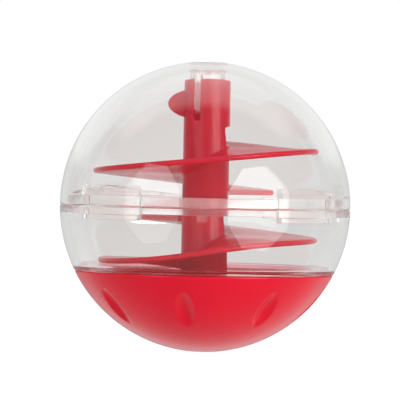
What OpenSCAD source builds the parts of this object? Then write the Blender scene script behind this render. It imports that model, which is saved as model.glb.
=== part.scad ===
// Treat ball: a clear two-part shell on a red base, with a red spiral in each half.
// The origin is on the floor under the middle of the ball, +Z is up, and the front faces -Y.

/* [Ball] */
// Outside diameter of the closed ball
ball_d = 80; // [76:0.5:96]
// Wall of the two clear shells
shell_t = 1.8; // [1.4:0.1:2.4]
// Diameter of the flat that the ball stands on
foot_d = 8; // [4:0.5:12]
// Gap between the faces that meet at a seam
seam_gap = 0.1; // [0.05:0.05:0.3]
// Bevel on the outer edges at each seam
seam_bevel = 0.25; // [0.1:0.05:0.5]
// Clearance around the hooks, lugs and collar of the two twist locks
lock_gap = 0.3; // [0.2:0.05:0.5]
// Clearance between tubes, spigot, key and socket
slide_gap = 0.2; // [0.1:0.05:0.3]

/* [Tubes] */
// Outside diameter of both red tubes
tube_d = 12.8; // [11:0.2:15]
// Wall of both red tubes
tube_t = 1.4; // [1.2:0.1:2]
// Gap between the upper tube's top and the inside of the dome
tube_top_gap = 3.3; // [2:0.1:6]
// Length of the stepped end that carries the upper tube
register_l = 3; // [2:0.5:6]
// Width of the key slot in the upper tube
slot_w = 2.1; // [1.6:0.1:3]
// Depth of the key slot below the tube's top
slot_l = 11.4; // [10:0.2:14]
// Direction of the key slot
slot_turn = 244; // [0:1:360]

/* [Outlet] */
// Wall of the clear spigot under the outlet
spigot_t = 1; // [0.8:0.1:1.4]
// Depth that the spigot and its key reach into the upper tube
spigot_reach = 8.9; // [4:0.1:9.5]
// Height of the key's end above the upper tube
key_rise = 1.4; // [0.5:0.1:2]
// Length of the spigot's end that leads into the tube ahead of the key
key_lead = 0.5; // [0.2:0.1:2]
// Radius of the rounded mouth of the outlet
mouth_round = 0.9; // [0.4:0.1:1.4]

/* [Flights] */
// Gap between the flights' outer edge and the lock hooks
flight_gap = 4.2; // [1:0.1:10]
// Thickness of the flights
flight_t = 1.5; // [1.2:0.1:2.4]
// Rise of the flights in one turn
flight_lead = 12.6; // [10:0.2:15]
// Radius of the flights' corners at their two ends
flight_corner = 5; // [4:0.5:14]
// Direction in which the upper flight starts
upper_flight_turn = 46; // [0:1:360]
// Angle that the upper flight covers
upper_flight_sweep = 384; // [300:1:400]
// Height of the upper flight's underside above the equator, where it starts
upper_flight_rise = 3.35; // [2:0.05:6]
// Direction in which the lower flight starts
lower_flight_turn = 105; // [0:1:360]
// Angle that the lower flight covers
lower_flight_sweep = 387; // [200:1:400]
// Height of the lower flight's underside from the shelf's top, where it starts inside the neck
lower_flight_rise = -1.73; // [-4:0.01:1]
// How much longer the lower flight stays level at the ends of its front half
lower_flight_level = 0.1; // [0:0.01:0.15]
// How much narrower the lower flight is where it starts, to clear the neck
lower_flight_inset = 2; // [1.6:0.1:4]
// Angles from a flight's start at which it begins to widen and has its full width
flight_widening = [60, 160];

/* [Treat windows] */
// Width of the window in each tube
window_w = 7.6; // [5:0.2:9]
// Height of the window in each tube
window_h = 5.6; // [4.6:0.1:7]
// Direction in which both windows face
window_turn = 2; // [0:1:360]
// Lip between a window and the flight below it
window_lip = 0.4; // [0.2:0.1:1]

/* [Nose tab] */
// How far the nose tab stands out from the upper tube
nose_out = 4.4; // [2:0.1:7]
// Height of the nose tab where it leaves the tube
nose_h = 7.3; // [5:0.1:9]
// Thickness of the nose tab
nose_t = 3; // [2:0.1:5]
// Radius of the nose tab's tip
nose_round = 1.7; // [1:0.1:2.2]
// Depth of the nose tab's middle below the tube's top
nose_drop = 6.6; // [5:0.1:10]
// Direction in which the nose tab points
nose_turn = 180; // [0:1:360]

/* [Shell lock] */
// Number of hooks on the dome
hook_count = 4; // [2:1:4]
// Angle that one hook covers
hook_angle = 30; // [20:1:32]
// Direction of the first hook
hook_turn = -43; // [-90:1:90]
// Thickness of a hook's stem
hook_t = 1.1; // [0.8:0.1:1.6]
// Height of a hook's lug
hook_lug_h = 1.3; // [1:0.1:2]
// Height of the rib that carries a hook
hook_rib_h = 2.6; // [1.6:0.1:4]
// Angle that the rib's sloping end covers
hook_ramp_angle = 26; // [10:1:30]
// Step between a hook's rib and its sloping end
hook_ramp_step = 0.2; // [0.1:0.1:0.5]
// Angle left free at each end of a hook in its opening
hook_side_gap = 2; // [1:0.5:3]
// Angle that the dome turns to lock
lock_angle = 30; // [25:1:35]
// Wall of the collar
collar_t = 1.25; // [1:0.05:1.8]
// Height of the collar above the equator
collar_h = 2.6; // [2:0.1:4]
// Depth of the collar's ring below the equator
collar_depth = 2; // [1.4:0.1:3]
// Angle that a stop covers
stop_angle = 4; // [2:1:5]

/* [Base] */
// Depth of the base's rim below the equator
base_drop = 18.1; // [16:0.1:20]
// Wall of the base
base_t = 2.8; // [2.4:0.1:4]
// Least wall of the base beside the lugs
base_rim_t = 1.25; // [1:0.05:2]
// Thickness of the clear shelf above the base
shelf_t = 1.8; // [1.2:0.1:2.6]
// Height of the clear neck inside the base
neck_h = 3.4; // [3:0.1:4]
// Wall of the clear neck
neck_t = 1.3; // [1:0.1:1.8]
// Number of lugs on the neck
neck_lug_count = 4; // [2:1:4]
// How far a lug stands out from the neck
neck_lug_out = 1.1; // [0.8:0.1:1.6]
// Height of a lug
neck_lug_h = 1.2; // [0.8:0.1:1.6]
// Angle that one lug covers
neck_lug_angle = 24; // [16:1:28]
// Angle left free at each end of a lug
neck_side_gap = 1; // [0.5:0.5:2]
// Angle that the base turns to let go
release_angle = 30; // [28:1:35]
// Wall of the socket for the lower tube
socket_t = 1.75; // [1.2:0.05:2.5]
// Depth of the socket for the lower tube
socket_h = 5; // [3:0.5:8]
// Thickness of the floor under the lower tube
socket_floor = 3.8; // [3.2:0.1:5]

/* [Finger dimples] */
// Number of dimples around the base
dimple_count = 8; // [4:1:10]
// Length of a dimple from top to bottom
dimple_l = 13.2; // [8:0.2:14]
// Width of a dimple
dimple_w = 5.2; // [3:0.2:7]
// Depth of a dimple
dimple_depth = 1.3; // [0.6:0.1:1.6]
// Depth of the dimples' middle below the equator
dimple_drop = 27.5; // [26:0.1:30]
// Direction of the first dimple
dimple_turn = -99.5; // [-180:0.5:180]

/* [Hidden] */
$fn = 96;

// Ball, measured from its middle
ball_r = ball_d / 2;
shell_ir = ball_r - shell_t;
ball_middle = sqrt(pow(ball_r, 2) - pow(foot_d / 2, 2));
function ball_radius_at(z, r = ball_r) = sqrt(pow(r, 2) - pow(z, 2));

// Collar and hooks at the equator
buried = shell_t / 3;
collar_or = shell_ir - lock_gap;
collar_ir = collar_or - collar_t;
stem_or = collar_ir - lock_gap;
stem_ir = stem_or - hook_t;
hook_lug_top = -collar_depth - lock_gap;
hook_lug_bottom = hook_lug_top - hook_lug_h;
hook_lug_r = ball_radius_at(hook_lug_bottom, shell_ir) - lock_gap;
hook_rib_bottom = collar_h + lock_gap;
hook_rib_top = hook_rib_bottom + hook_rib_h;
hook_spacing = 360 / hook_count;
hook_opening = hook_angle + 2 * hook_side_gap;
stop_from = -lock_angle - hook_angle / 2 - hook_side_gap / 2;

// Base, neck and shelf
shelf_top = -base_drop + shelf_t;
neck_bottom = -base_drop - neck_h;
groove_bottom = neck_bottom - lock_gap;
groove_top = neck_bottom + neck_lug_h + lock_gap;
groove_r = ball_radius_at(groove_bottom) - base_rim_t;
neck_lug_r = groove_r - lock_gap;
neck_or = neck_lug_r - neck_lug_out;
neck_ir = neck_or - neck_t;
ledge_r = neck_or + lock_gap;
neck_lug_spacing = 360 / neck_lug_count;
neck_opening = neck_lug_angle + 2 * neck_side_gap;
base_ir = ball_r - base_t;
socket_bottom = -ball_middle + socket_floor;

// Tubes and outlet
tube_r = tube_d / 2;
tube_ir = tube_r - tube_t;
tube_top = shell_ir - tube_top_gap;
register_r = tube_ir + (tube_t - slide_gap) / 2;
spigot_r = tube_ir - slide_gap;
outlet_r = spigot_r - spigot_t;
spigot_bottom = tube_top - spigot_reach;
key_w = slot_w - 2 * slide_gap;

// Flights, whose height is that of their middle
flight_r = stem_ir - flight_gap;
upper_flight_z = upper_flight_rise + flight_t / 2;
lower_flight_z = shelf_top + lower_flight_rise + flight_t / 2;
flight_edge_steps = 4;
flight_corner_steps = 7;
flight_step = 6;

// Barrel that cuts a dimple: its waist, its axis above the surface, and the arc of its side
dimple_waist = (pow(dimple_depth, 2) + pow(dimple_w / 2, 2)) / (2 * dimple_depth);
dimple_axis = dimple_waist - dimple_depth;
dimple_fall = pow(dimple_l / 2, 2) / ball_d;
dimple_side = dimple_depth - dimple_fall;
dimple_arc = (pow(dimple_l / 2, 2) + pow(dimple_side, 2)) / (2 * dimple_side);

// Part of a ring, from one angle over a sweep
module ring_part(inner, outer, low, high, from, sweep) {
    rotate([0, 0, from])
        rotate_extrude(angle = sweep)
            translate([inner, low])
                square([outer - inner, high - low]);
}

// Half section of a hollow ball between two heights
module wall_section(inner, low, high) {
    difference() {
        intersection() {
            circle(r = ball_r);
            box_section(0, ball_r, low, high);
        }
        circle(r = inner);
    }
}

// Rectangle between two radii and two heights
module box_section(inner, outer, low, high) {
    translate([inner, low])
        square([outer - inner, high - low]);
}

// Diamond that bevels the outer edges on both sides of a seam
module seam_section(z) {
    translate([ball_radius_at(z), z - seam_gap / 2])
        rotate(45)
            square((seam_bevel + seam_gap / 2) * sqrt(2), center = true);
}

// Outer radius of a flight at a distance from its nearer end, measured along its edge
function flight_edge(s) =
    s >= flight_corner
    ? flight_r
    : flight_r - flight_corner + sqrt(pow(flight_corner, 2) - pow(flight_corner - s, 2));

// Share of its full width that a flight has gained at an angle from its start
function flight_widened(a) =
    let (
        share = (a - flight_widening[0]) / (flight_widening[1] - flight_widening[0]),
        part = min(1, max(0, share))
    )
    part * part * (3 - 2 * part);

// Section of a flight, from its root in the tube's wall round its outer edge
function flight_section(outer) = concat(
    [[tube_r - tube_t / 2, -flight_t / 2]],
    [for (i = [0 : flight_edge_steps])
        let (a = -90 + 180 * i / flight_edge_steps)
        [outer - flight_t / 2 + flight_t / 2 * cos(a), flight_t / 2 * sin(a)]],
    [[tube_r - tube_t / 2, flight_t / 2]]
);

// Angles along a flight, closer together at its rounded corners
function flight_angles(sweep) =
    let (
        corner = flight_corner / flight_r * 180 / PI,
        middle = sweep - 2 * corner,
        steps = ceil(middle / flight_step),
        ease = [for (i = [0 : flight_corner_steps]) corner * (1 - cos(90 * i / flight_corner_steps))]
    )
    concat(
        ease,
        [for (i = [1 : steps]) corner + middle * i / steps],
        [for (i = [flight_corner_steps - 1 : -1 : 0]) sweep - ease[i]]
    );

// Height of a flight in a direction: it is level at its two sides and steepest in front and behind
function flight_height(place, level) =
    let (
        half = floor(place / 180),
        share = (1 - cos(place - 180 * half)) / 2,
        eased = half % 2 == 0 ? share : share - level * sin(360 * share)
    )
    flight_lead / 2 * (half + eased);

// A helical flight that rises as it goes round to the left of its start, seen from its tube
module flight(z, turn, sweep, level, inset) {
    angles = flight_angles(sweep);
    count = len(angles);
    sides = flight_edge_steps + 3;
    along = flight_r * PI / 180;
    points = [for (a = angles)
        let (
            outer = flight_edge(min(a, sweep - a) * along) - inset * (1 - flight_widened(a)),
            section = flight_section(outer)
        )
        for (p = section)
            [
                p[0] * cos(turn + a),
                p[0] * sin(turn + a),
                p[1] + z + flight_height(turn + a, level) - flight_height(turn, level)
            ]];
    walls = [for (i = [0 : count - 2], j = [0 : sides - 1])
        let (
            k = (j + 1) % sides,
            a = i * sides + j,
            b = i * sides + k,
            c = a + sides,
            d = b + sides
        )
        each [[a, c, b], [b, c, d]]];
    first = [for (j = [1 : sides - 2]) [0, j + 1, j]];
    last = [for (j = [1 : sides - 2]) [0, j, j + 1] + [1, 1, 1] * (count - 1) * sides];
    polyhedron(points = points, faces = concat(walls, first, last));
}

// Cutter for the window in a tube, sloped like the flight below it
module window(flight_z, flight_turn, level) {
    here = flight_turn + (window_turn + 360 - flight_turn) % 360;
    side = asin(window_w / tube_d);
    slope = (flight_height(here + side, level) - flight_height(here - side, level)) / window_w;
    climb = flight_height(here, level) - flight_height(flight_turn, level);
    middle = flight_z + climb + flight_t / 2 + window_lip + window_h / 2;
    rotate([0, 0, window_turn])
        translate([0, 0, middle])
            rotate([atan(slope), 0, 0])
                translate([0, -window_w / 2, -window_h / 2])
                    cube([tube_r + tube_t, window_w, window_h]);
}

// Tab with a rounded tip on the side of the upper tube
module nose() {
    tip = tube_r + nose_out - nose_round;
    rotate([0, 0, nose_turn])
        translate([0, nose_t / 2, tube_top - nose_drop])
            rotate([90, 0, 0])
                linear_extrude(nose_t)
                    union() {
                        translate([tip, 0])
                            circle(r = nose_round);
                        polygon([
                            [tube_r - tube_t / 2, -nose_h / 2],
                            [tube_r, -nose_h / 2],
                            [tip + nose_round * sin(40), -nose_round * cos(40)],
                            [tip + nose_round * sin(40), nose_round * cos(40)],
                            [tube_r, nose_h / 2],
                            [tube_r - tube_t / 2, nose_h / 2]
                        ]);
                    }
}

// Hook on the dome: rib on the wall, stem inside the collar, and lug that turns under the collar
module hook() {
    rotate([0, 0, -hook_angle / 2])
        rotate_extrude(angle = hook_angle)
            polygon([
                [stem_ir, hook_lug_bottom],
                [hook_lug_r, hook_lug_bottom],
                [hook_lug_r, hook_lug_top],
                [stem_or, hook_lug_top],
                [stem_or, hook_rib_bottom],
                [shell_ir + buried, hook_rib_bottom],
                [shell_ir + buried, hook_rib_top],
                [stem_ir, hook_rib_top]
            ]);
    hook_ramp();
}

// Sloping end of the rib, beside the hook
module hook_ramp() {
    low = hook_rib_bottom + hook_ramp_step;
    high = hook_rib_top - hook_ramp_step;
    slope = atan((high - low) / (shell_ir * sin(hook_ramp_angle)));
    root_angle = hook_angle / 4;
    rotate([0, 0, hook_angle / 2])
        difference() {
            ring_part(collar_ir, shell_ir + buried / 2, low, high, -root_angle, hook_ramp_angle + root_angle);
            translate([0, 0, high])
                rotate([-slope, 0, 0])
                    cube(ball_d);
        }
}

// Barrel along the meridian, with its waist on the ball's surface
module dimple() {
    tilt = asin(dimple_drop / ball_r);
    rotate([0, tilt, 0])
        translate([ball_r + dimple_axis, 0, 0])
            rotate_extrude()
                intersection() {
                    translate([dimple_waist - dimple_arc, 0])
                        circle(r = dimple_arc);
                    translate([0, -dimple_l])
                        square([dimple_waist, 2 * dimple_l]);
                }
}

// Clear dome with the outlet, its keyed spigot and the lock hooks
module upper_shell() {
    color("#dfe3e4", 0.35)
        translate([0, 0, ball_middle])
            union() {
                rotate_extrude()
                    dome_section();
                key();
                for (i = [0 : hook_count - 1])
                    rotate([0, 0, hook_turn + i * hook_spacing])
                        hook();
            }
}

// Half section of the dome, with the outlet's rounded mouth and the spigot below it
module dome_section() {
    mouth_r = outlet_r + mouth_round;
    mouth_z = ball_radius_at(mouth_r);
    difference() {
        union() {
            wall_section(shell_ir, 0, ball_r);
            box_section(outlet_r, spigot_r, spigot_bottom, shell_ir + buried);
        }
        box_section(0, outlet_r, 0, ball_d);
        difference() {
            box_section(0, mouth_r, mouth_z - mouth_round, mouth_z + mouth_round);
            translate([mouth_r, mouth_z - mouth_round])
                circle(r = mouth_round);
        }
        seam_section(0);
    }
}

// Key on the spigot's side, as deep as the tube's wall
module key() {
    root = outlet_r + spigot_t / 2;
    rotate([0, 0, slot_turn])
        translate([root, -key_w / 2, spigot_bottom + key_lead])
            cube([tube_r - root, key_w, spigot_reach - key_lead + key_rise]);
}

// Upper tube, widened at its lower end to sit on the stepped end of the lower tube
module upper_tube() {
    socket_r = register_r + slide_gap;
    socket_top = register_l + slide_gap;
    rotate_extrude()
        polygon([
            [socket_r, seam_gap],
            [tube_r, seam_gap],
            [tube_r, tube_top],
            [tube_ir, tube_top],
            [tube_ir, socket_top],
            [socket_r, socket_top]
        ]);
}

// Lower tube, stepped at its upper end
module lower_tube() {
    rotate_extrude()
        polygon([
            [tube_ir, socket_bottom],
            [tube_r, socket_bottom],
            [tube_r, 0],
            [register_r, 0],
            [register_r, register_l],
            [tube_ir, register_l]
        ]);
}

// Red tube of the upper half, with its flight, nose tab, key slot and window
module upper_spiral() {
    color("#c8242c")
        translate([0, 0, ball_middle])
            union() {
                difference() {
                    upper_tube();
                    rotate([0, 0, slot_turn])
                        translate([0, -slot_w / 2, tube_top - slot_l])
                            cube([tube_d, slot_w, slot_l + 1]);
                    window(upper_flight_z, upper_flight_turn, 0);
                }
                flight(upper_flight_z, upper_flight_turn, upper_flight_sweep, 0, 0);
                nose();
            }
}

// Clear zone between the equator and the base
module lower_shell() {
    color("#dfe3e4", 0.35)
        translate([0, 0, ball_middle])
            union() {
                difference() {
                    rotate_extrude()
                        zone_section();
                    for (i = [0 : hook_count - 1])
                        ring_part(stem_ir, hook_lug_r + lock_gap, -collar_depth - 1, collar_h + 1,
                            hook_turn + i * hook_spacing - hook_opening / 2, hook_opening);
                }
                for (i = [0 : hook_count - 1])
                    ring_part(collar_ir + collar_t / 4, shell_ir + buried, hook_lug_bottom, -collar_depth / 2,
                        hook_turn + i * hook_spacing + stop_from - stop_angle, stop_angle);
                for (i = [0 : neck_lug_count - 1])
                    ring_part(neck_or - neck_t / 2, neck_lug_r, neck_bottom, neck_bottom + neck_lug_h,
                        i * neck_lug_spacing - neck_lug_angle / 2, neck_lug_angle);
            }
}

// Half section of the zone, with the collar above it, and the shelf and the neck below
module zone_section() {
    difference() {
        union() {
            wall_section(shell_ir, -base_drop, -seam_gap);
            box_section(collar_ir, collar_or, -collar_depth, collar_h);
            box_section(collar_ir, shell_ir + buried, -collar_depth, -seam_gap);
            box_section(neck_ir, ball_radius_at(shelf_top, shell_ir) + buried, -base_drop, shelf_top);
            box_section(neck_ir, neck_or, neck_bottom, shelf_top);
        }
        seam_section(0);
        seam_section(-base_drop);
    }
}

// Red tube of the lower half, with its flight, window and stepped end
module lower_spiral() {
    color("#c8242c")
        translate([0, 0, ball_middle])
            union() {
                difference() {
                    lower_tube();
                    window(lower_flight_z, lower_flight_turn, lower_flight_level);
                }
                flight(
                    lower_flight_z,
                    lower_flight_turn,
                    lower_flight_sweep,
                    lower_flight_level,
                    lower_flight_inset
                );
            }
}

// Red bowl with finger dimples, ledges for the lugs and a socket for the lower tube
module base_cap() {
    color("#d22630")
        translate([0, 0, ball_middle])
            union() {
                difference() {
                    rotate_extrude()
                        base_section();
                    for (i = [0 : neck_lug_count - 1])
                        ring_part(neck_ir, groove_r + base_rim_t / 2, groove_top - lock_gap, -base_drop + 1,
                            i * neck_lug_spacing + release_angle - neck_opening / 2, neck_opening);
                    for (i = [0 : dimple_count - 1])
                        rotate([0, 0, dimple_turn + i * 360 / dimple_count])
                            dimple();
                }
                for (i = [0 : neck_lug_count - 1])
                    ring_part(ledge_r + neck_lug_out / 5, groove_r + base_rim_t / 2,
                        groove_bottom - lock_gap, groove_top + lock_gap,
                        i * neck_lug_spacing - neck_opening / 2 - stop_angle, stop_angle);
            }
}

// Half section of the base, with the groove that the lugs turn in and the tube's socket
module base_section() {
    socket_ir = tube_r + slide_gap / 2;
    difference() {
        union() {
            wall_section(base_ir, -ball_middle, -base_drop - seam_gap);
            box_section(ledge_r, groove_r + base_rim_t / 2, neck_bottom, -base_drop - seam_gap);
            intersection() {
                circle(r = ball_r);
                box_section(0, socket_ir + socket_t, -ball_middle, socket_bottom + socket_h);
            }
        }
        box_section(0, socket_ir, socket_bottom, 0);
        box_section(0, ledge_r, groove_bottom, 0);
        box_section(0, groove_r, groove_bottom, groove_top);
        seam_section(-base_drop);
    }
}

base_cap();
lower_spiral();
lower_shell();
upper_spiral();
upper_shell();
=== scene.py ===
"""Looks of the treat ball: clear dome and zone, red base and two red spirals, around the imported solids."""

import math

import bmesh
import bpy
from mathutils import Matrix, Vector


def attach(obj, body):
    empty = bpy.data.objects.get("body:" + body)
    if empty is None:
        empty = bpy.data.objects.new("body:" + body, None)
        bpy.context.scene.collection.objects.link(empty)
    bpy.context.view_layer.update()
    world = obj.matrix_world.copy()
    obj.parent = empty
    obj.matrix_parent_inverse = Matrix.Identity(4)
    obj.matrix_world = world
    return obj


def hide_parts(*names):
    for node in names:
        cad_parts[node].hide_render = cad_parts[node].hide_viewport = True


# Sizes in millimetres as in the part's source, with heights from the ball's middle
MM = 0.001
BALL_R = 40.0
SHELL_IR = 38.2
MIDDLE = 39.7995
SEAM = 0.1
BEVEL = 0.25
BURIED = 0.6
TUBE_R, TUBE_IR, TUBE_TOP = 6.4, 5.0, 34.9
REGISTER_R, REGISTER_L, SLIDE_GAP = 5.6, 3.0, 0.2
OUTLET_R, SPIGOT_R, SPIGOT_BOTTOM, MOUTH_ROUND = 3.8, 4.8, 26.0, 0.9
KEY_W, KEY_RISE, KEY_LEAD = 1.7, 1.4, 0.5
LOCK_GAP = 0.3
COLLAR_IR, COLLAR_OR, COLLAR_TOP, COLLAR_BOTTOM = 36.65, 37.9, 2.6, -2.0
OPENING_TOP, OPENING_BOTTOM = 3.6, -3.0
STEM_IR, STEM_OR, STEM_ROOT = 35.25, 36.35, 0.6
HOOK_LUG_R, HOOK_LUG_TOP, HOOK_LUG_BOTTOM = 37.73, -2.3, -3.6
HOOKS, HOOK_TURN, HOOK_ANGLE, HOOK_OPENING = 4, -43, 30, 34
RIB_BOTTOM, RIB_TOP, RIB_END_H, RIB_END_T = 2.9, 5.5, 0.5, 0.3
RIB_LEVEL_ANGLE, RIB_ANGLE = 12, 49
STOP_ANGLE = 4
LOCK_STOP_IR, LOCK_STOP_TOP, LOCK_STOP_TURN = 36.96, -1.0, -50
BASE_DROP, SHELF_TOP = -18.1, -16.3
NECK_IR, NECK_OR, NECK_BOTTOM = 29.59, 30.89, -21.5
NECK_LUGS, NECK_LUG_ROOT, NECK_LUG_R, NECK_LUG_TOP, NECK_LUG_ANGLE = 4, 30.24, 31.99, -20.3, 24
LEDGE_R, GROOVE_R, GROOVE_TOP, GROOVE_BOTTOM = 31.19, 32.29, -20.0, -21.8
ENTRY_R, ENTRY_TOP, ENTRY_BOTTOM, ENTRY_ANGLE, ENTRY_TURN = 32.92, -17.1, -20.3, 26, 30
BASE_STOP_IR, BASE_STOP_TOP, BASE_STOP_BOTTOM, BASE_STOP_TURN = 31.41, -19.7, -22.1, -17
BASE_IR = 37.2
SOCKET_IR, SOCKET_OR, SOCKET_BOTTOM, SOCKET_TOP = 6.5, 8.25, -36.0, -31.0
DIMPLES, DIMPLE_TURN, DIMPLE_L, DIMPLE_W, DIMPLE_DEPTH, DIMPLE_DROP = 8, -99.5, 13.2, 5.2, 1.3, 27.5
FLIGHT_R, FLIGHT_T, FLIGHT_LEAD, FLIGHT_CORNER, FLIGHT_FILLET = 31.05, 1.5, 12.6, 5.0, 0.5
FLIGHT_WIDENING = (60, 160)
ROOT_DEPTH = 0.7
WINDOW_W, WINDOW_H, WINDOW_TURN, WINDOW_LIP = 7.6, 5.6, 2, 0.4
SLOT_W, SLOT_L, SLOT_TURN = 2.1, 11.4, 244
NOSE_OUT, NOSE_H, NOSE_T, NOSE_DROP, NOSE_TURN, NOSE_EDGE = 4.4, 7.3, 3.0, 6.6, 180, 0.45
# Each flight: height at its start, angles of its start and sweep, levelling behind, inset at its start
UPPER_FLIGHT = (4.1, 46, 384, 0.0, 0.0)
LOWER_FLIGHT = (-17.28, 105, 387, 0.1, 2.0)

# Picture in pixels: its side, where the ball's middle is in it, and the ball's radius
PICTURE = 400
BALL_AT = (205.25, 206.73)
BALL_PIXELS = 145.24
# Camera in millimetres from the ball's middle and above it
CAMERA_AWAY = 879.0
CAMERA_OVER = 8.7
CAMERA_ROLL = math.radians(1.2)
SENSOR = 36
CENTRE = Vector((0, 0, MIDDLE * MM))


class Sock:
    """A shader socket that takes part in Python expressions."""

    def __init__(self, tree, value=None):
        self.tree = tree
        self.value = value

    def node(self, kind, settings=None, out=0, **inputs):
        """Adds a node, sets it up, then fills its inputs with values or links."""
        made = self.tree.nodes.new("ShaderNode" + kind)
        for key, value in (settings or {}).items():
            if key == "stops":
                fill_ramp(made.color_ramp, value)
            else:
                setattr(made, key, value)
        for key, value in inputs.items():
            numbered = key[0] == "i" and key[1:].isdigit()
            socket = made.inputs[int(key[1:]) if numbered else key.replace("_", " ")]
            value = value.value if isinstance(value, Sock) else value
            if isinstance(value, bpy.types.NodeSocket):
                self.tree.links.new(value, socket)
            else:
                socket.default_value = value
        return Sock(self.tree, made.outputs[out])

    def maths(self, operation, *values):
        return self.node("Math", {"operation": operation}, **{f"i{i}": v for i, v in enumerate(values)})

    def smooth(self, value, low, high):
        """0 up to the low value and 1 from the high one, with a soft change between."""
        settings = {"interpolation_type": "SMOOTHSTEP"}
        return self.node("MapRange", settings, Value=value, From_Min=low, From_Max=high)

    def __add__(self, other):
        return self.maths("ADD", self, other)

    def __radd__(self, other):
        return self.maths("ADD", other, self)

    def __sub__(self, other):
        return self.maths("SUBTRACT", self, other)

    def __rsub__(self, other):
        return self.maths("SUBTRACT", other, self)

    def __mul__(self, other):
        return self.maths("MULTIPLY", self, other)

    def __rmul__(self, other):
        return self.maths("MULTIPLY", other, self)


def fill_ramp(ramp, stops):
    while len(ramp.elements) > 1:
        ramp.elements.remove(ramp.elements[-1])
    for i, (place, colour) in enumerate(stops):
        element = ramp.elements[0] if i == 0 else ramp.elements.new(place)
        element.position = place
        element.color = (*colour, 1)


def srgb(*colour):
    """Linear colour of an 8-bit display colour."""
    return tuple(((c / 255 + 0.055) / 1.055) ** 2.4 for c in colour)


def new_material(name):
    material = bpy.data.materials.new(name)
    material.use_nodes = True
    material.node_tree.nodes.clear()
    return material, Sock(material.node_tree)


def close(material, shader):
    out = material.node_tree.nodes.new("ShaderNodeOutputMaterial")
    material.node_tree.links.new(shader.value, out.inputs["Surface"])
    return material


def let_light_by(sock, plastic, colour):
    """Lets tinted light through a plastic to what is behind it."""
    shadow = sock.node("LightPath", out="Is Shadow Ray")
    return sock.node("MixShader", i0=shadow, i1=plastic, i2=sock.node("BsdfTransparent", Color=(*colour, 1)))


def red_plastic(name, colour, roughness, grain_strength, specular, glow, depth, passes):
    """Moulded red plastic, slightly cloudy and grained. Light sinks into it by the depth in metres."""
    material, sock = new_material(name)
    place = sock.node("TexCoord", out="Object")
    cloud = sock.node("TexNoise", Vector=place, Scale=45.0, Detail=1.0)
    grain = sock.node("TexNoise", Vector=place, Scale=2600.0, Detail=2.0)
    pale = tuple(c * 1.1 + 0.004 for c in colour)
    deep = tuple(c * 0.9 for c in colour)
    tint = sock.node("ValToRGB", {"stops": [(0.0, deep), (1.0, pale)]}, Fac=cloud)
    bump = sock.node("Bump", Strength=grain_strength, Distance=0.0001, Height=grain)
    plastic = sock.node(
        "BsdfPrincipled",
        Base_Color=tint,
        Roughness=roughness - 0.04 + 0.08 * cloud,
        Normal=bump,
        IOR=1.5,
        Specular_IOR_Level=specular,
        Subsurface_Weight=glow,
        Subsurface_Radius=(1.0, 0.1, 0.08),
        Subsurface_Scale=depth,
    )
    return close(material, let_light_by(sock, plastic, passes))


def clear_plastic(name, roughness, clarity, colour=srgb(252, 252, 251)):
    """Moulded clear plastic, polished unevenly."""
    material, sock = new_material(name)
    place = sock.node("TexCoord", out="Object")
    flow = sock.node("TexNoise", Vector=place, Scale=90.0, Detail=2.0)
    plastic = sock.node(
        "BsdfPrincipled",
        Base_Color=(*colour, 1),
        Roughness=roughness * (0.7 + 0.6 * flow),
        IOR=1.5,
        Transmission_Weight=clarity,
    )
    return close(material, let_light_by(sock, plastic, (0.985, 0.985, 0.98)))


def ball_r_at(z, r=BALL_R):
    return math.sqrt(r * r - z * z)


def meridian(radius, low, high, step=1.5):
    """Points of a half section on a ball of that radius, from one height to another."""
    a, b = math.asin(low / radius), math.asin(high / radius)
    count = max(2, round(abs(math.degrees(b - a)) / step))
    turns = [a + (b - a) * i / count for i in range(count + 1)]
    return [(radius * math.cos(t), radius * math.sin(t), 0) for t in turns]


def rounded(corners, steps=3):
    """Half section from corners of radius, height and rounding, with each rounded corner as an arc."""
    points = []
    count = len(corners)
    for i, (r, z, rounding) in enumerate(corners):
        here = Vector((r, z))
        if not rounding:
            points.append(here)
            continue
        before = (Vector(corners[i - 1][:2]) - here).normalized()
        after = (Vector(corners[(i + 1) % count][:2]) - here).normalized()
        half = before.angle(after) / 2
        reach = rounding / math.tan(half)
        middle = here + (before + after).normalized() * rounding / math.sin(half)
        first, last = here + before * reach - middle, here + after * reach - middle
        sweep = first.angle_signed(last)
        for k in range(steps + 1):
            spin = Matrix.Rotation(-sweep * k / steps, 2)
            points.append(middle + spin @ first)
    return points


def new_object(name, data):
    made = bpy.data.objects.new(name, data)
    bpy.context.scene.collection.objects.link(made)
    return made


def new_piece(name, bm):
    """Makes an object of a mesh that was drawn in millimetres from the ball's middle."""
    bmesh.ops.remove_doubles(bm, verts=bm.verts, dist=1e-5)
    bmesh.ops.recalc_face_normals(bm, faces=bm.faces)
    bmesh.ops.transform(bm, matrix=Matrix.Translation(CENTRE) @ Matrix.Scale(MM, 4), verts=bm.verts)
    mesh = bpy.data.meshes.new(name)
    bm.to_mesh(mesh)
    bm.free()
    return new_object(name, mesh)


def turn(bm, points, start=0.0, sweep=360.0, step=1.5, closed=True):
    """Turns a half section round the axis, whole or over a sweep with flat ends, and gives its sections."""
    whole = sweep == 360
    count = round(sweep / step)
    sections = []
    for i in range(count if whole else count + 1):
        a = math.radians(start + sweep * i / count)
        sections.append([bm.verts.new((p[0] * math.cos(a), p[0] * math.sin(a), p[1])) for p in points])
    sides = len(points) if closed else len(points) - 1
    for i in range(count):
        here, there = sections[i], sections[(i + 1) % len(sections)]
        for j in range(sides):
            k = (j + 1) % len(points)
            bm.faces.new((here[j], there[j], there[k], here[k]))
    if not whole:
        bm.faces.new(sections[0])
        bm.faces.new(sections[-1])
    return sections


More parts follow.
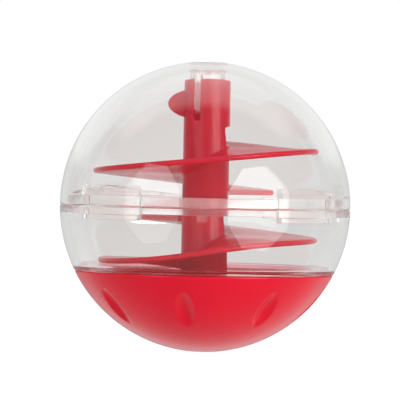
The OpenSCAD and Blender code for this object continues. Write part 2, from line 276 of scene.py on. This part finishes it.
def skin(bm, rows):
    """Faces between rows of points, with a face at each end."""
    for here, there in zip(rows, rows[1:]):
        for j in range(len(here)):
            k = (j + 1) % len(here)
            bm.faces.new((here[j], there[j], there[k], here[k]))
    bm.faces.new(rows[0])
    bm.faces.new(rows[-1])


def box(bm, low, high, spin=0.0, tilt=None):
    """A box between two corners, tilted and then turned round the axis."""
    matrix = Matrix.Rotation(math.radians(spin), 4, "Z") @ (tilt or Matrix())
    verts = [
        bm.verts.new(matrix @ Vector((x, y, z)))
        for x in (low[0], high[0])
        for y in (low[1], high[1])
        for z in (low[2], high[2])
    ]
    for a, b, c, d in ((0, 1, 3, 2), (4, 6, 7, 5), (0, 4, 5, 1), (2, 3, 7, 6), (0, 2, 6, 4), (1, 5, 7, 3)):
        bm.faces.new((verts[a], verts[b], verts[c], verts[d]))


def combine(piece, bm, operation):
    """Adds or cuts a closed mesh."""
    other = new_piece("other", bm)
    modifier = piece.modifiers.new("combine", "BOOLEAN")
    modifier.solver = "EXACT"
    modifier.operation = operation
    modifier.object = other
    shaped = piece.evaluated_get(bpy.context.evaluated_depsgraph_get())
    mesh = bpy.data.meshes.new_from_object(shaped)
    piece.modifiers.clear()
    old = piece.data
    piece.data = mesh
    mesh.name = piece.name
    bpy.data.meshes.remove(old)
    bpy.data.objects.remove(other)


def finish_piece(piece, finishes, node, body, pick=None):
    """Gives a piece its finishes, with each face's picked by radius and height, and its body."""
    piece.data.materials.clear()
    for finish in finishes:
        piece.data.materials.append(finish)
    if pick:
        for face in piece.data.polygons:
            x, y, z = (face.center - CENTRE) / MM
            face.material_index = pick(math.hypot(x, y), z)
    piece.data.shade_smooth()
    piece.data.set_sharp_from_angle(angle=math.radians(32))
    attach(piece, body)
    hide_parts(node)


def around(count, first=0.0):
    return [first + 360 / count * i for i in range(count)]


def is_lock(r, z):
    """True on the hooks and collar, which stand inside the wall, and on the spigot and its key."""
    near = 0.1
    inside = math.hypot(r, z) < SHELL_IR - near
    on_lock = HOOK_LUG_BOTTOM - near < z < RIB_TOP + near
    on_spigot = z > SPIGOT_BOTTOM - near and r < TUBE_R + near
    return inside and (on_lock or on_spigot)


def zone_finish(r, z):
    """Pink reflection of the red base painted on the neck and under the shelf, matt on the lock, clear
    elsewhere.
    """
    near = 0.05
    return 2 if z < BASE_DROP + near else int(is_lock(r, z))


def round_edges(bm, edges, rounding, **limits):
    bmesh.ops.bevel(bm, geom=edges, offset=rounding, segments=3, affect="EDGES", profile=0.5, **limits)


def soften_ends(bm, rounding):
    """Rounds the edges of the end faces of turned parts."""
    ends = [face for face in bm.faces if len(face.verts) > 4]
    edges = list({edge for face in ends for edge in face.edges})
    round_edges(bm, edges, rounding, clamp_overlap=True)


def ring(inner, outer, bottom, top):
    """Half section of a plain ring."""
    return [(inner, bottom), (outer, bottom), (outer, top), (inner, top)]


def rib(bm, start):
    """The rib above a hook, of full height at its start and then sloping down like a ramp."""
    steps = 32
    off = 0.03
    bottom = RIB_BOTTOM + off
    outer = SHELL_IR + BURIED
    rows = []
    for i in range(steps + 1):
        place = RIB_ANGLE * i / steps
        fall = max(0.0, place - RIB_LEVEL_ANGLE) / (RIB_ANGLE - RIB_LEVEL_ANGLE)
        top = RIB_TOP - (RIB_TOP - RIB_BOTTOM - RIB_END_H) * fall
        inner = STEM_IR + off + (SHELL_IR - RIB_END_T - STEM_IR) * fall**1.5
        ease = min(0.15, 0.4 * (top - RIB_BOTTOM), 0.4 * (outer - inner))
        corners = [(inner, bottom, 0.4 * ease), (outer, bottom, 0), (outer, top, 0), (inner, top, ease)]
        a = math.radians(start + place)
        rows.append([bm.verts.new((r * math.cos(a), r * math.sin(a), h)) for r, h in rounded(corners)])
    skin(bm, rows)


def make_dome():
    mouth_r = OUTLET_R + MOUTH_ROUND
    mouth_z = ball_r_at(mouth_r)
    corners = [
        *meridian(BALL_R, BEVEL, mouth_z),
        *[
            (mouth_r + MOUTH_ROUND * math.cos(t), mouth_z - MOUTH_ROUND + MOUTH_ROUND * math.sin(t), 0)
            for t in (math.radians(90 + 90 * i / 6) for i in range(1, 7))
        ],
        (OUTLET_R, SPIGOT_BOTTOM, 0.25),
        (SPIGOT_R, SPIGOT_BOTTOM, 0.25),
        (SPIGOT_R, ball_r_at(SPIGOT_R, SHELL_IR), 0.5),
        *meridian(SHELL_IR, ball_r_at(SPIGOT_R + 0.7, SHELL_IR), 0.15),
        (SHELL_IR - 0.15, 0, 0),
        (BALL_R - BEVEL, 0, 0),
    ]
    bm = bmesh.new()
    turn(bm, rounded(corners))
    dome = new_piece("clear_dome", bm)
    bm = bmesh.new()
    hook = rounded(
        [
            (STEM_IR, HOOK_LUG_BOTTOM, 0.15),
            (HOOK_LUG_R, HOOK_LUG_BOTTOM, 0.15),
            (HOOK_LUG_R, HOOK_LUG_TOP, 0.12),
            (STEM_OR, HOOK_LUG_TOP, 0.12),
            (STEM_OR, RIB_BOTTOM, 0.12),
            (SHELL_IR + BURIED, RIB_BOTTOM, 0),
            (SHELL_IR + BURIED, RIB_BOTTOM + STEM_ROOT, 0),
            (STEM_IR, RIB_BOTTOM + STEM_ROOT, 0),
        ]
    )
    for place in around(HOOKS, HOOK_TURN):
        turn(bm, hook, place - HOOK_ANGLE / 2, HOOK_ANGLE)
    soften_ends(bm, 0.1)
    combine(dome, bm, "UNION")
    bm = bmesh.new()
    for place in around(HOOKS, HOOK_TURN):
        rib(bm, place - HOOK_ANGLE / 2 + 0.02)
    combine(dome, bm, "UNION")
    bm = bmesh.new()
    key_low = (OUTLET_R + 0.5, -KEY_W / 2, SPIGOT_BOTTOM + KEY_LEAD)
    key_high = (TUBE_R, KEY_W / 2, TUBE_TOP + KEY_RISE)
    box(bm, key_low, key_high, SLOT_TURN)
    combine(dome, bm, "UNION")
    finish_piece(dome, [clear, matt_clear], "upper_shell", "upper_shell", is_lock)


def make_zone():
    rim = ball_r_at(BASE_DROP)
    corners = [
        (BALL_R - BEVEL, -SEAM, 0),
        *meridian(BALL_R, -SEAM - BEVEL, BASE_DROP + 0.2),
        (rim - BEVEL, BASE_DROP, 0),
        (NECK_OR, BASE_DROP, 0.2),
        (NECK_OR, NECK_BOTTOM, 0.2),
        (NECK_IR, NECK_BOTTOM, 0.2),
        (NECK_IR, SHELF_TOP, 0.3),
        (ball_r_at(SHELF_TOP, SHELL_IR), SHELF_TOP, 0),
        *meridian(SHELL_IR, SHELF_TOP + 0.4, COLLAR_BOTTOM),
        (COLLAR_IR, COLLAR_BOTTOM, 0.15),
        (COLLAR_IR, COLLAR_TOP, 0.15),
        (COLLAR_OR, COLLAR_TOP, 0.15),
        (COLLAR_OR, -SEAM, 0.1),
    ]
    bm = bmesh.new()
    turn(bm, rounded(corners))
    zone = new_piece("clear_zone", bm)
    bm = bmesh.new()
    opening = ring(STEM_IR, HOOK_LUG_R + LOCK_GAP, OPENING_BOTTOM, OPENING_TOP)
    for place in around(HOOKS, HOOK_TURN):
        turn(bm, opening, place - HOOK_OPENING / 2, HOOK_OPENING)
    combine(zone, bm, "DIFFERENCE")
    bm = bmesh.new()
    stop = ring(LOCK_STOP_IR, SHELL_IR + BURIED, HOOK_LUG_BOTTOM, LOCK_STOP_TOP)
    for place in around(HOOKS, HOOK_TURN + LOCK_STOP_TURN):
        turn(bm, stop, place, STOP_ANGLE)
    lug = ring(NECK_LUG_ROOT, NECK_LUG_R, NECK_BOTTOM, NECK_LUG_TOP)
    for place in around(NECK_LUGS):
        turn(bm, lug, place - NECK_LUG_ANGLE / 2, NECK_LUG_ANGLE)
    combine(zone, bm, "UNION")
    finishes = [clear, matt_clear, clear_with_painted_reflection]
    finish_piece(zone, finishes, "lower_shell", "lower_shell", zone_finish)


def dimple_dent(x, y, z):
    """How far a finger dimple goes in at a point on the base's outside, in millimetres."""
    soft, reach = 0.06, 1.25
    best = 0.0
    fall = math.asin(DIMPLE_DROP / BALL_R)
    latitude = math.asin(max(-1, min(1, z / BALL_R)))
    along = (latitude + fall) * BALL_R
    for place in around(DIMPLES, DIMPLE_TURN):
        a = math.radians(place)
        across = -x * math.sin(a) + y * math.cos(a)
        if x * math.cos(a) + y * math.sin(a) < 0:
            continue
        u = math.sqrt((along / (DIMPLE_L / 2)) ** 2 + (across / (DIMPLE_W / 2)) ** 2)
        if u < reach:
            bowl = DIMPLE_DEPTH * (1 - u * u)
            best = max(best, 0.5 * (bowl + math.sqrt(bowl * bowl + soft * soft)) - 0.5 * soft * min(1, u))
    return max(0.0, best)


def make_base():
    rim = ball_r_at(BASE_DROP)
    outside = meridian(BALL_R, -MIDDLE, BASE_DROP - 0.35, 0.6)
    corners = [
        (0, -MIDDLE, 0),
        *outside,
        (rim - BEVEL, BASE_DROP - SEAM, 0),
        (LEDGE_R, BASE_DROP - SEAM, 0.2),
        (LEDGE_R, GROOVE_TOP, 0.1),
        (GROOVE_R, GROOVE_TOP, 0.1),
        (GROOVE_R, GROOVE_BOTTOM, 0.1),
        (ball_r_at(GROOVE_BOTTOM, BASE_IR), GROOVE_BOTTOM, 0),
        *meridian(BASE_IR, GROOVE_BOTTOM - 0.2, -ball_r_at(SOCKET_OR, BASE_IR), 2),
        (SOCKET_OR, SOCKET_TOP, 0.3),
        (SOCKET_IR, SOCKET_TOP, 0.3),
        (SOCKET_IR, SOCKET_BOTTOM, 0),
        (0, SOCKET_BOTTOM, 0),
    ]
    bm = bmesh.new()
    for section in turn(bm, rounded(corners), step=0.75, closed=False):
        for vert in section[1 : len(outside) + 1]:
            dent = dimple_dent(*vert.co)
            if dent:
                vert.co -= vert.co.normalized() * dent
    base = new_piece("red_base", bm)
    bm = bmesh.new()
    entry = ring(NECK_IR, ENTRY_R, ENTRY_BOTTOM, ENTRY_TOP)
    for place in around(NECK_LUGS, ENTRY_TURN):
        turn(bm, entry, place - ENTRY_ANGLE / 2, ENTRY_ANGLE)
    combine(base, bm, "DIFFERENCE")
    bm = bmesh.new()
    stop = ring(BASE_STOP_IR, ENTRY_R, BASE_STOP_BOTTOM, BASE_STOP_TOP)
    for place in around(NECK_LUGS, BASE_STOP_TURN):
        turn(bm, stop, place, STOP_ANGLE)
    combine(base, bm, "UNION")
    finish_piece(base, [base_red], "base_cap", "base")


def flight_height(place, level):
    """Height of a flight in a direction: level at its two sides, steepest in front and behind."""
    half = math.floor(place / 180)
    share = (1 - math.cos(math.radians(place - 180 * half))) / 2
    if half % 2:
        share -= level * math.sin(2 * math.pi * share)
    return FLIGHT_LEAD / 2 * (half + share)


def flight(bm, z, start, sweep, level, inset):
    """A helical flight with a rounded edge, rounded corners at its ends and a fillet at the tube."""
    end_steps, step, least_half, sunk = 14, 2.5, 0.3, 0.03
    widen_from, widen_to = FLIGHT_WIDENING
    corner = math.degrees(FLIGHT_CORNER / FLIGHT_R)
    ease = [corner * (1 - math.cos(math.radians(90 * i / end_steps))) for i in range(end_steps + 1)]
    count = math.ceil((sweep - 2 * corner) / step)
    places = ease + [corner + (sweep - 2 * corner) * i / count for i in range(1, count)]
    places += [sweep - e for e in reversed(ease)]
    along = math.radians(1) * FLIGHT_R
    rows = []
    for place in places:
        s = min(place, sweep - place) * along
        share = min(1.0, max(0.0, (place - widen_from) / (widen_to - widen_from)))
        outer = FLIGHT_R - inset * (1 - share * share * (3 - 2 * share))
        if s < FLIGHT_CORNER:
            outer += math.sqrt(FLIGHT_CORNER**2 - (FLIGHT_CORNER - s) ** 2) - FLIGHT_CORNER
        half = FLIGHT_T / 2
        if s < half:
            half = max(least_half, math.sqrt(half * half - (half - s) ** 2))
        foot = -half - FLIGHT_FILLET
        under = [(TUBE_R - ROOT_DEPTH, foot), (TUBE_R - sunk, foot)]
        for t in (math.radians(90 * i / 4) for i in range(1, 5)):
            under.append((TUBE_R + FLIGHT_FILLET * (1 - math.cos(t)), foot + FLIGHT_FILLET * math.sin(t)))
        edge = [
            (outer - half + half * math.cos(t), half * math.sin(t))
            for t in (math.radians(-90 + 180 * i / 8) for i in range(9))
        ]
        section = under + edge + [(r, -h) for r, h in reversed(under)]
        a = math.radians(start + place)
        lift = z + flight_height(start + place, level) - flight_height(start, level)
        rows.append([bm.verts.new((r * math.cos(a), r * math.sin(a), h + lift)) for r, h in section])
    skin(bm, rows)


def window(bm, flight_at):
    """The treat window through the tube, which follows the flight's slope just above it."""
    z, start, _, level, _ = flight_at
    here = start + (WINDOW_TURN + 360 - start) % 360
    side = math.degrees(math.asin(WINDOW_W / 2 / TUBE_R))
    rise = flight_height(here + side, level) - flight_height(here - side, level)
    slope = math.atan(rise / WINDOW_W)
    climb = flight_height(here, level) - flight_height(start, level)
    middle = z + climb + FLIGHT_T / 2 + WINDOW_LIP + WINDOW_H / 2
    tilt = Matrix.Translation((0, 0, middle)) @ Matrix.Rotation(slope, 4, "X")
    box(bm, (0, -WINDOW_W / 2, -WINDOW_H / 2), (TUBE_R + 2, WINDOW_W / 2, WINDOW_H / 2), WINDOW_TURN, tilt)


def nose(bm):
    """The lobe on the upper tube's left."""
    root, sunk, steps, fullness = TUBE_R - ROOT_DEPTH, 0.1, 20, 0.8
    heights = [NOSE_H / 2 * math.sin(math.radians(-90 + 180 * i / steps)) for i in range(steps + 1)]
    lobe = [(1 - (2 * h / NOSE_H) ** 2) ** fullness for h in heights]
    outline = [(root, -NOSE_H / 2)]
    outline += [(TUBE_R - sunk + (NOSE_OUT + sunk) * reach, h) for reach, h in zip(lobe, heights)]
    outline += [(root, NOSE_H / 2)]
    middle = TUBE_TOP - NOSE_DROP
    turned = Matrix.Rotation(math.radians(NOSE_TURN), 4, "Z")
    sides = [
        [bm.verts.new(turned @ Vector((r, side * NOSE_T / 2, h + middle))) for r, h in outline]
        for side in (-1, 1)
    ]
    count = len(outline)
    for j in range(count):
        k = (j + 1) % count
        bm.faces.new((sides[0][j], sides[0][k], sides[1][k], sides[1][j]))
    faces = [bm.faces.new(side) for side in sides]
    round_edges(bm, [e for f in faces for e in f.edges], NOSE_EDGE)


def make_spiral(name, tube, flight_at, node, body, slotted):
    bm = bmesh.new()
    turn(bm, rounded(tube), step=2.5)
    spiral = new_piece(name, bm)
    bm = bmesh.new()
    window(bm, flight_at)
    if slotted:
        box(bm, (1, -SLOT_W / 2, TUBE_TOP - SLOT_L), (TUBE_R + 3, SLOT_W / 2, TUBE_TOP + 1), SLOT_TURN)
    combine(spiral, bm, "DIFFERENCE")
    bm = bmesh.new()
    flight(bm, *flight_at)
    combine(spiral, bm, "UNION")
    if slotted:
        bm = bmesh.new()
        nose(bm)
        combine(spiral, bm, "UNION")
    finish_piece(spiral, [spiral_red], node, body)


def make_spirals():
    socket_r, socket_top = REGISTER_R + SLIDE_GAP, REGISTER_L + SLIDE_GAP
    upper = [
        (socket_r, SEAM, 0),
        (TUBE_R, SEAM, 0.15),
        (TUBE_R, TUBE_TOP, 0.3),
        (TUBE_IR, TUBE_TOP, 0.3),
        (TUBE_IR, socket_top, 0),
        (socket_r, socket_top, 0),
    ]
    lower = [
        (TUBE_IR, SOCKET_BOTTOM, 0),
        (TUBE_R, SOCKET_BOTTOM, 0.3),
        (TUBE_R, 0, 0.15),
        (REGISTER_R, 0, 0),
        (REGISTER_R, REGISTER_L, 0.2),
        (TUBE_IR, REGISTER_L, 0.1),
    ]
    make_spiral("red_upper_spiral", upper, UPPER_FLIGHT, "upper_spiral", "upper_spiral", True)
    make_spiral("red_lower_spiral", lower, LOWER_FLIGHT, "lower_spiral", "base", False)


def aim(thing, target, roll=0.0):
    facing = (target - thing.location).to_track_quat("-Z", "Y")
    thing.rotation_mode = "QUATERNION"
    thing.rotation_quaternion = facing @ Matrix.Rotation(roll, 3, "Z").to_quaternion()


def add_camera():
    data = bpy.data.cameras.new("camera")
    camera = new_object("camera", data)
    bpy.context.scene.camera = camera
    data.sensor_width = SENSOR
    data.lens = SENSOR / PICTURE * BALL_PIXELS * math.sqrt(CAMERA_AWAY**2 - BALL_R**2) / BALL_R
    back = math.sqrt(CAMERA_AWAY**2 - CAMERA_OVER**2)
    camera.location = CENTRE + MM * Vector((0, -back, CAMERA_OVER))
    pixel = BALL_R * MM / BALL_PIXELS
    right = (BALL_AT[0] - PICTURE / 2) * pixel
    down = (BALL_AT[1] - PICTURE / 2) * pixel
    aim(camera, CENTRE + Vector((-right, 0, down)), CAMERA_ROLL)
    data.clip_start = 0.01
    data.clip_end = 100


def direction(azimuth, elevation):
    """Azimuth 0 is at the camera, and it grows to the camera's right."""
    a, e = math.radians(azimuth), math.radians(elevation)
    return Vector((math.sin(a) * math.cos(e), -math.cos(a) * math.cos(e), math.sin(e)))


def add_softbox(name, azimuth, elevation, away, width, height, strength, mirrored=None):
    """An eight-sided lit cloth that faces the ball, out of the picture.

    The near wall of the ball shows it at the mirrored strength, or not at all where none is given.
    """
    cut = 0.3
    w, h = width / 2, height / 2
    short_w, short_h = w - cut * width, h - cut * height
    outline = [(-w, -short_h), (-short_w, -h), (short_w, -h), (w, -short_h)]
    outline += [(-x, -y) for x, y in outline]
    mesh = bpy.data.meshes.new(name)
    mesh.from_pydata([(x, y, 0) for x, y in outline], [], [tuple(range(8))])
    softbox = new_object(name, mesh)
    softbox.location = CENTRE + away * direction(azimuth, elevation)
    aim(softbox, CENTRE)
    material, sock = new_material(name)
    if mirrored is not None:
        wall_surfaces = 2
        surfaces_passed = sock.node("LightPath", out="Transmission Depth")
        in_near_wall = sock.maths("LESS_THAN", surfaces_passed, wall_surfaces + 0.5)
        strength = strength + (mirrored - strength) * seen_directly(sock) * in_near_wall
    mesh.materials.append(close(material, sock.node("Emission", Color=(1, 1, 1, 1), Strength=strength)))
    softbox.visible_camera = False
    softbox.visible_glossy = mirrored is not None
    softbox.visible_transmission = mirrored is not None
    softbox.visible_shadow = False


def seen_directly(sock):
    """1 for rays that show the surroundings, in the picture, in gloss or through clear walls."""
    camera = sock.node("LightPath", out="Is Camera Ray")
    glossy = sock.node("LightPath", out="Is Glossy Ray")
    through = sock.node("LightPath", out="Is Transmission Ray")
    return sock.maths("MINIMUM", camera + glossy + through, 1.0)


def add_world():
    """A studio with a pale backdrop, a dim front and a bright canopy, as gloss and clear walls show them."""
    world = bpy.data.worlds.new("studio")
    bpy.context.scene.world = world
    world.use_nodes = True
    tree = world.node_tree
    tree.nodes.clear()
    sock = Sock(tree)
    facing = sock.node("TexCoord", out="Generated")
    behind = sock.node("SeparateXYZ", out="Y", Vector=facing) * 0.5 + 0.5
    up = sock.node("SeparateXYZ", out="Z", Vector=facing)
    aside = sock.maths("ABSOLUTE", sock.node("SeparateXYZ", out="X", Vector=facing))
    # Greys from the front, at 0, to the backdrop, at 1
    below = [(0.0, 0.07), (0.35, 0.1), (0.5, 0.2), (0.8, 0.62), (0.92, 0.95), (0.96, 1.0)]
    level = [(0.0, 0.07), (0.4, 0.1), (0.7, 0.42), (0.93, 0.5), (0.975, 0.54)]
    above = [(0.0, 0.07), (0.42, 0.12), (0.46, 0.18), (0.53, 1.25), (0.66, 1.4), (0.78, 1.1), (0.96, 0.85)]
    through_walls = [(0.0, 0.35), (0.5, 0.3), (0.75, 0.45), (0.92, 0.76), (0.97, 0.82)]
    canopy = behind - 0.31 * aside
    low, mid, high, through = (
        sock.node("ValToRGB", {"stops": [(place, (grey,) * 3) for place, grey in greys]}, Fac=along)
        for greys, along in ((below, behind), (level, behind), (above, canopy), (through_walls, behind))
    )
    raised = sock.smooth(up, -0.4, -0.2)
    lofty = sock.smooth(up - 0.8 * (1 - behind), 0.05, 0.17)
    overhead = 1.7 * sock.smooth(up, 0.5, 0.8) * sock.smooth(behind, 0.42, 0.54)
    high = sock.maths("MAXIMUM", high, overhead)
    lower = low * (1 - raised) + mid * raised
    gloss = lower * (1 - lofty) + high * lofty
    camera = sock.node("LightPath", out="Is Camera Ray")
    gloss = gloss * (1 - camera) + camera
    passing = sock.node("LightPath", out="Is Transmission Ray")
    room = sock.node(
        "MixShader",
        i0=passing,
        i1=sock.node("Background", Color=gloss, Strength=1.0),
        i2=sock.node("Background", Color=through, Strength=1.0),
    )
    lit = sock.node("Background", Color=(1, 1, 1, 1), Strength=0.5)
    shader = sock.node("MixShader", i0=seen_directly(sock), i1=lit, i2=room)
    out = tree.nodes.new("ShaderNodeOutputWorld")
    tree.links.new(shader.value, out.inputs["Surface"])


def add_floor():
    """A white floor that glows in the picture and is dimmer through clear walls."""
    mesh = bpy.data.meshes.new("floor")
    half, drop = 6.0, 0.0002
    corners = [(-half, -half, 0), (half, -half, 0), (half, half, 0), (-half, half, 0)]
    mesh.from_pydata(corners, [], [(0, 1, 2, 3)])
    floor = new_object("floor", mesh)
    floor.location.z = -drop
    floor.visible_glossy = False
    material, sock = new_material("pale_floor")
    diffuse = sock.node("BsdfDiffuse", Color=(0.9, 0.9, 0.9, 1))
    passing = sock.node("LightPath", out="Is Transmission Ray")
    glow = sock.node("Emission", Color=(1, 1, 1, 1), Strength=1.15 - 0.37 * passing)
    shader = sock.node("MixShader", i0=0.5 + seen_directly(sock) * 0.35, i1=diffuse, i2=glow)
    mesh.materials.append(close(material, shader))


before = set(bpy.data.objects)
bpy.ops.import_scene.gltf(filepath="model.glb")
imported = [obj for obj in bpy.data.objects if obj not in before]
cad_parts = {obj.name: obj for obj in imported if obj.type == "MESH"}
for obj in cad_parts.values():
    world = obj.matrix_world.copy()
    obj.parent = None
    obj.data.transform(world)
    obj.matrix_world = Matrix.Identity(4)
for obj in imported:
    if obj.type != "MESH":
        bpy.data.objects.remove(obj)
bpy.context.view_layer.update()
scene = bpy.context.scene
scene.view_settings.view_transform = "Standard"
scene.cycles.max_bounces = 64
scene.cycles.transmission_bounces = 64
scene.cycles.glossy_bounces = 64
scene.cycles.transparent_max_bounces = 16
add_camera()
add_world()
add_floor()
# Angles in degrees, then metres away, wide and high
add_softbox("right_softbox", 43, 0, 1.2, 1.14, 1.39, strength=6.0, mirrored=3.0)
add_softbox("left_softbox", -43, 2, 1.2, 1.0, 1.3, strength=1.7, mirrored=1.7)
add_softbox("front_fill", 0, -4, 1.5, 1.3, 1.3, strength=1.6)
add_softbox("top_softbox", 180, 58, 1.2, 1.4, 1.3, strength=1.4)

clear = clear_plastic("clear_plastic", roughness=0.02, clarity=1.0)
matt_clear = clear_plastic("matt_clear_plastic", roughness=0.15, clarity=0.94)
# Pink painted into the clear plastic of the neck and under the shelf: a painted reflection of the red base
# below it
painted_base_reflection = srgb(233, 122, 131)
clear_with_painted_reflection = clear_plastic("clear_plastic_painted_reflection", roughness=0.12, clarity=0.86, colour=painted_base_reflection)
base_red = red_plastic(
    "satin_red",
    srgb(202, 2, 36),
    roughness=0.25,
    grain_strength=0.05,
    specular=0.48,
    glow=0.3,
    depth=0.004,
    passes=(0.72, 0.04, 0.06),
)
spiral_red = red_plastic(
    "spiral_red",
    srgb(206, 2, 48),
    roughness=0.2,
    grain_strength=0.015,
    specular=0.3,
    glow=1.0,
    depth=0.005,
    passes=(0.75, 0.06, 0.08),
)
make_dome()
make_zone()
make_base()
make_spirals()
